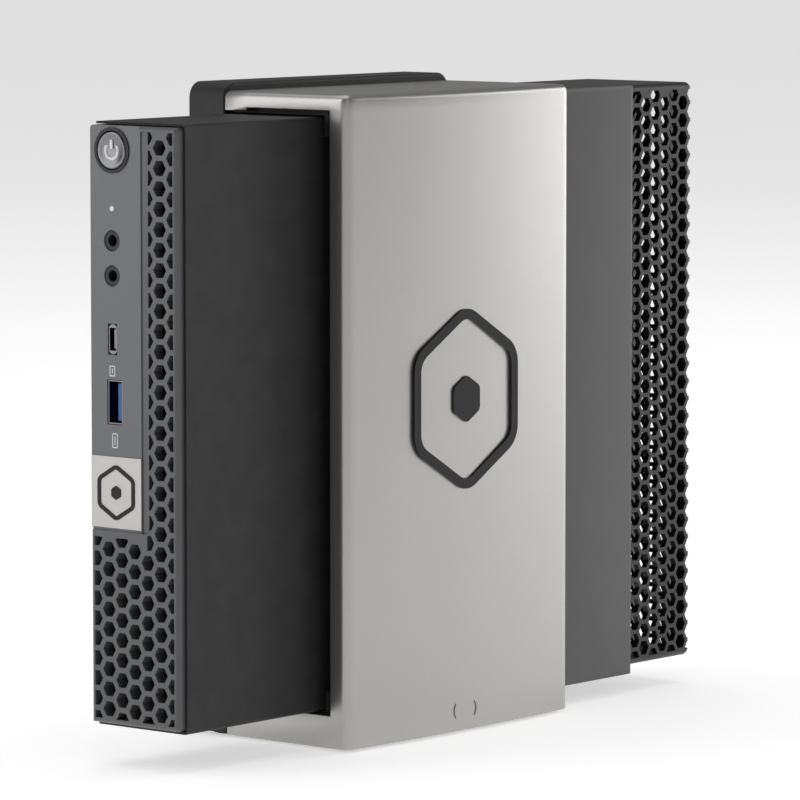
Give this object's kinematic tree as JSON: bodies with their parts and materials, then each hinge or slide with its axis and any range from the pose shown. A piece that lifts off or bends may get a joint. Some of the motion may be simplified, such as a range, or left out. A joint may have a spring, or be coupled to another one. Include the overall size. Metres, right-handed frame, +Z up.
{
  "type": "mini pc",
  "caption": "Slim upright mini PC in a monitor-stand cradle, with a bowed silver rear cover over its middle, a vented cable cover and a cell-patterned front bezel with ports.",
  "frame": {"origin": "centre of the bounding box's footprint, at the underside of the rubber pads", "axes": "+X from the front bezel to the cable cover, +Y from the rear cover to the spine that carries the monitor, +Z up"},
  "size_m": [0.25, 0.0664, 0.2035],
  "materials": {
    "satin_silver": "satin blasted",
    "case_paint": "fine matt texture",
    "bezel_black": "matt moulded",
    "strip_grey": "smooth satin",
    "cable_plastic": "smooth matt",
    "spine_black": "matt",
    "bare_steel": "zinc plated",
    "bright_metal": "polished",
    "badge_metal": "satin",
    "mark_dark": "gloss",
    "foot_rubber": "matt",
    "board_green": "solder mask",
    "chip_black": "moulded epoxy",
    "socket_black": "moulded",
    "tongue_blue": "moulded",
    "fin_aluminium": "mill finish",
    "nut_brass": "turned",
    "light_white": "diffusing"
  },
  "bodies": {
    "mount": {"mount_spine": "spine_black", "back_plate": "case_paint", "plate_screws": "bare_steel", "cradle": "case_paint", "cradle_rivets": "case_paint", "foot_bracket": "case_paint", "rubber_pads": "foot_rubber", "cover_clips": "case_paint", "cable_arm": "case_paint"},
    "rear_cover": {"rear_cover": "satin_silver", "cover_emblem": "mark_dark"},
    "cable_cover": {"cable_cover": "cable_plastic", "cable_cover_nut": "nut_brass"},
    "cable_cover_screw": {"cable_cover_screw": "spine_black"},
    "computer": {"chassis_tray": "bare_steel", "rear_panel": "bare_steel", "case_feet": "foot_rubber", "power_switch": "socket_black", "audio_jacks": "socket_black", "usb_c_socket": "bright_metal", "usb_a_socket": "bright_metal", "usb_a_tongue": "tongue_blue", "motherboard": "board_green", "board_screws": "bare_steel", "cpu_socket": "socket_black", "processor": "bright_metal", "heat_sink": "fin_aluminium", "blower_housing": "spine_black", "drive": "fin_aluminium", "drive_caddy": "cable_plastic", "memory_sockets": "socket_black", "memory_modules": "board_green", "ssd_socket": "socket_black", "ssd_card": "board_green", "wlan_socket": "socket_black", "wlan_card": "board_green", "cell_holder": "socket_black", "coin_cell": "bright_metal", "speaker": "socket_black", "power_inlet": "socket_black", "display_sockets": "bright_metal", "rear_usb_sockets": "bright_metal", "network_socket": "bright_metal", "antenna_plug": "spine_black"},
    "bezel": {"front_bezel": "bezel_black", "port_panel": "strip_grey", "badge_plate": "badge_metal", "badge_mark": "mark_dark", "button_ring": "bright_metal", "light_pipe": "light_white"},
    "power_button": {"power_button": "strip_grey"},
    "side_cover": {"side_cover": "case_paint"},
    "lid_screw": {"lid_screw": "spine_black"},
    "fan_rotor": {"fan_rotor": "spine_black"}
  },
  "joints": [
    {"name": "rear_cover_pull", "type": "slide", "parent": "mount", "child": "rear_cover", "axis": [0, -1, 0], "range_m": [0, 0.07]},
    {"name": "cable_cover_pull", "type": "slide", "parent": "mount", "child": "cable_cover", "axis": [1, 0, 0], "range_m": [0, 0.08]},
    {"name": "cable_screw_turn", "type": "hinge", "parent": "cable_cover", "child": "cable_cover_screw", "pos_m": [0.08, 0.0225, 0.105], "axis": [0, 1, 0], "continuous": true},
    {"name": "computer_slide", "type": "slide", "parent": "mount", "child": "computer", "axis": [-1, 0, 0], "range_m": [0, 0.13]},
    {"name": "side_cover_slide", "type": "slide", "parent": "computer", "child": "side_cover", "axis": [-1, 0, 0], "range_m": [0, 0.15]},
    {"name": "lid_screw_turn", "type": "hinge", "parent": "computer", "child": "lid_screw", "pos_m": [0.0533, -0.0118, 0.187], "axis": [1, 0, 0], "continuous": true},
    {"name": "bezel_pull", "type": "slide", "parent": "computer", "child": "bezel", "axis": [-1, 0, 0], "range_m": [0, 0.03]},
    {"name": "power_button_press", "type": "slide", "parent": "bezel", "child": "power_button", "axis": [1, 0, 0], "range_m": [0, 0.0008], "stiffness_N_per_m": 1500, "springref_m": -0.0003},
    {"name": "fan_spin", "type": "hinge", "parent": "computer", "child": "fan_rotor", "pos_m": [-0.06, -0.0008, 0.141], "axis": [0, 1, 0], "continuous": true}
  ]
}
